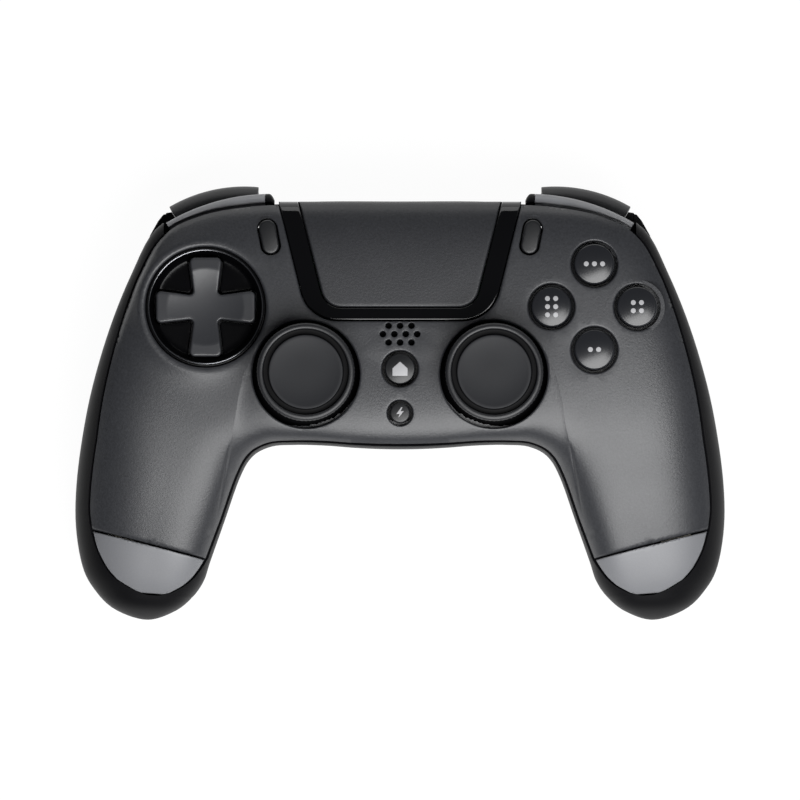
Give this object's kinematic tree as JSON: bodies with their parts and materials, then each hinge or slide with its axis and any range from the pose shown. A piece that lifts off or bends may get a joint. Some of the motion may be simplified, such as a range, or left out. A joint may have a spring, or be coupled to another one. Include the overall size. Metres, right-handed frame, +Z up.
{
  "type": "gamepad controller",
  "caption": "Handheld game controller with two grips, thumb sticks, a cross pad, action buttons, a click pad, bumpers and triggers",
  "frame": {"origin": "On the table under the middle of the controller's length and width, with the controller lying on its back and its face up.", "axes": "+X to the player's right, +Y away from the player, towards the triggers, +Z up out of the face."},
  "size_m": [0.16, 0.1066, 0.0505],
  "materials": {
    "shell_graphite": "satin, fine moulded grain",
    "shell_black": "satin black",
    "cap_grey": "satin light grey",
    "gloss_black": "polished black",
    "pad_grey": "fine matt touch surface",
    "cross_grey": "satin grey",
    "button_black": "smooth dark plastic",
    "key_dark": "satin dark plastic",
    "stick_rubber": "matt rubber",
    "bumper_grey": "satin grey",
    "trigger_black": "fine texture",
    "membrane_rubber": "silicone rubber",
    "moulded_black": "plain moulding",
    "moulded_pale": "plain moulding",
    "board_green": "circuit board",
    "steel": "bright steel",
    "screw_steel": "dark steel",
    "weight_metal": "sintered metal",
    "battery_wrap": "wrapped cell"
  },
  "bodies": {
    "case": {"front_shell": "shell_graphite", "rear_shell": "shell_black", "left_grip_cap": "cap_grey", "right_grip_cap": "cap_grey", "touchpad_frame": "gloss_black", "dpad_dish": "gloss_black", "dpad_membrane": "membrane_rubber", "dpad_key_plate": "moulded_black", "button_membrane": "membrane_rubber", "button_key_plate": "moulded_black", "centre_key_board": "board_green", "tact_switches": "steel", "left_stick_base": "moulded_pale", "right_stick_base": "moulded_pale", "left_trigger_bracket": "moulded_black", "right_trigger_bracket": "moulded_black", "left_trigger_spring": "steel", "right_trigger_spring": "steel", "trigger_pins": "steel", "bumper_pins": "steel", "main_board": "board_green", "inner_frame": "moulded_black", "battery": "battery_wrap", "speaker": "steel", "usb_port": "steel", "headphone_jack": "moulded_black", "left_rumble_motor": "steel", "right_rumble_motor": "steel", "case_screws": "screw_steel", "board_screws": "screw_steel"},
    "touchpad": {"touchpad": "pad_grey", "touchpad_board": "board_green"},
    "dpad_pivot": {"dpad_pivot_ball": "steel"},
    "dpad": {"dpad": "cross_grey"},
    "button_top": {"button_top": "button_black"},
    "button_right": {"button_right": "button_black"},
    "button_bottom": {"button_bottom": "button_black"},
    "button_left": {"button_left": "button_black"},
    "share_button": {"share_button": "key_dark"},
    "options_button": {"options_button": "key_dark"},
    "home_button": {"home_button": "key_dark"},
    "turbo_button": {"turbo_button": "key_dark"},
    "left_stick_press": {"left_stick_carrier": "moulded_black"},
    "left_stick_yoke": {"left_stick_yoke": "moulded_pale"},
    "left_stick": {"left_stick_lever": "steel", "left_stick_cap": "stick_rubber"},
    "left_bumper": {"left_bumper": "bumper_grey"},
    "left_trigger": {"left_trigger": "trigger_black"},
    "left_rumble_weight": {"left_rumble_weight": "weight_metal"},
    "right_stick_press": {"right_stick_carrier": "moulded_black"},
    "right_stick_yoke": {"right_stick_yoke": "moulded_pale"},
    "right_stick": {"right_stick_lever": "steel", "right_stick_cap": "stick_rubber"},
    "right_bumper": {"right_bumper": "bumper_grey"},
    "right_trigger": {"right_trigger": "trigger_black"},
    "right_rumble_weight": {"right_rumble_weight": "weight_metal"}
  },
  "joints": [
    {"name": "touchpad_click", "type": "hinge", "parent": "case", "child": "touchpad", "pos_m": [0, 0.0444, 0.034], "axis": [1, 0, 0], "range_deg": [0, 1.2], "stiffness_Nm_per_rad": 0.4},
    {"name": "dpad_pitch", "type": "hinge", "parent": "case", "child": "dpad_pivot", "pos_m": [-0.0476, 0.0224, 0.036], "axis": [1, 0, 0], "range_deg": [-4.5, 4.5], "stiffness_Nm_per_rad": 0.2, "deforming": ["dpad_membrane"]},
    {"name": "dpad_roll", "type": "hinge", "parent": "dpad_pivot", "child": "dpad", "pos_m": [-0.0476, 0.0224, 0.036], "axis": [0, 1, 0], "range_deg": [-4.5, 4.5], "stiffness_Nm_per_rad": 0.2, "deforming": ["dpad_membrane"]},
    {"name": "button_top_press", "type": "slide", "parent": "case", "child": "button_top", "axis": [0, 0, -1], "range_m": [0, 0.0016], "stiffness_N_per_m": 500, "deforming": ["button_membrane"]},
    {"name": "button_right_press", "type": "slide", "parent": "case", "child": "button_right", "axis": [0, 0, -1], "range_m": [0, 0.0016], "stiffness_N_per_m": 500, "deforming": ["button_membrane"]},
    {"name": "button_bottom_press", "type": "slide", "parent": "case", "child": "button_bottom", "axis": [0, 0, -1], "range_m": [0, 0.0016], "stiffness_N_per_m": 500, "deforming": ["button_membrane"]},
    {"name": "button_left_press", "type": "slide", "parent": "case", "child": "button_left", "axis": [0, 0, -1], "range_m": [0, 0.0016], "stiffness_N_per_m": 500, "deforming": ["button_membrane"]},
    {"name": "share_press", "type": "slide", "parent": "case", "child": "share_button", "axis": [0, 0, -1], "range_m": [0, 0.0008], "stiffness_N_per_m": 900},
    {"name": "options_press", "type": "slide", "parent": "case", "child": "options_button", "axis": [0, 0, -1], "range_m": [0, 0.0008], "stiffness_N_per_m": 900},
    {"name": "home_press", "type": "slide", "parent": "case", "child": "home_button", "axis": [0, 0, -1], "range_m": [0, 0.0008], "stiffness_N_per_m": 900},
    {"name": "turbo_press", "type": "slide", "parent": "case", "child": "turbo_button", "axis": [0, 0, -1], "range_m": [0, 0.0008], "stiffness_N_per_m": 900},
    {"name": "left_stick_click", "type": "slide", "parent": "case", "child": "left_stick_press", "axis": [0, 0, -1], "range_m": [0, 0.0006], "stiffness_N_per_m": 2500},
    {"name": "left_stick_pitch", "type": "hinge", "parent": "left_stick_press", "child": "left_stick_yoke", "pos_m": [-0.023, 0.0059, 0.029], "axis": [1, 0, 0], "range_deg": [-16, 16], "stiffness_Nm_per_rad": 0.06},
    {"name": "left_stick_roll", "type": "hinge", "parent": "left_stick_yoke", "child": "left_stick", "pos_m": [-0.023, 0.0059, 0.029], "axis": [0, 1, 0], "range_deg": [-16, 16], "stiffness_Nm_per_rad": 0.06},
    {"name": "right_stick_click", "type": "slide", "parent": "case", "child": "right_stick_press", "axis": [0, 0, -1], "range_m": [0, 0.0006], "stiffness_N_per_m": 2500},
    {"name": "right_stick_pitch", "type": "hinge", "parent": "right_stick_press", "child": "right_stick_yoke", "pos_m": [0.023, 0.0059, 0.029], "axis": [1, 0, 0], "range_deg": [-16, 16], "stiffness_Nm_per_rad": 0.06},
    {"name": "right_stick_roll", "type": "hinge", "parent": "right_stick_yoke", "child": "right_stick", "pos_m": [0.023, 0.0059, 0.029], "axis": [0, 1, 0], "range_deg": [-16, 16], "stiffness_Nm_per_rad": 0.06},
    {"name": "left_bumper_press", "type": "hinge", "parent": "case", "child": "left_bumper", "pos_m": [-0.0318, 0.0458, 0.029], "axis": [0, 0, 1], "range_deg": [0, 3], "stiffness_Nm_per_rad": 0.2},
    {"name": "right_bumper_press", "type": "hinge", "parent": "case", "child": "right_bumper", "pos_m": [0.0318, 0.0458, 0.029], "axis": [0, 0, -1], "range_deg": [0, 3], "stiffness_Nm_per_rad": 0.2},
    {"name": "left_trigger_pull", "type": "hinge", "parent": "case", "child": "left_trigger", "pos_m": [-0.046, 0.041, 0.022], "axis": [-1, 0, 0], "range_deg": [0, 17], "stiffness_Nm_per_rad": 0.06, "springref_deg": -11.46, "deforming": ["left_trigger_spring"]},
    {"name": "right_trigger_pull", "type": "hinge", "parent": "case", "child": "right_trigger", "pos_m": [0.046, 0.041, 0.022], "axis": [-1, 0, 0], "range_deg": [0, 17], "stiffness_Nm_per_rad": 0.06, "springref_deg": -11.46, "deforming": ["right_trigger_spring"]},
    {"name": "left_rumble_spin", "type": "hinge", "parent": "case", "child": "left_rumble_weight", "pos_m": [-0.06755, -0.0298, 0.015], "axis": [1, 0, 0], "continuous": true},
    {"name": "right_rumble_spin", "type": "hinge", "parent": "case", "child": "right_rumble_weight", "pos_m": [0.06755, -0.0298, 0.015], "axis": [1, 0, 0], "continuous": true}
  ]
}
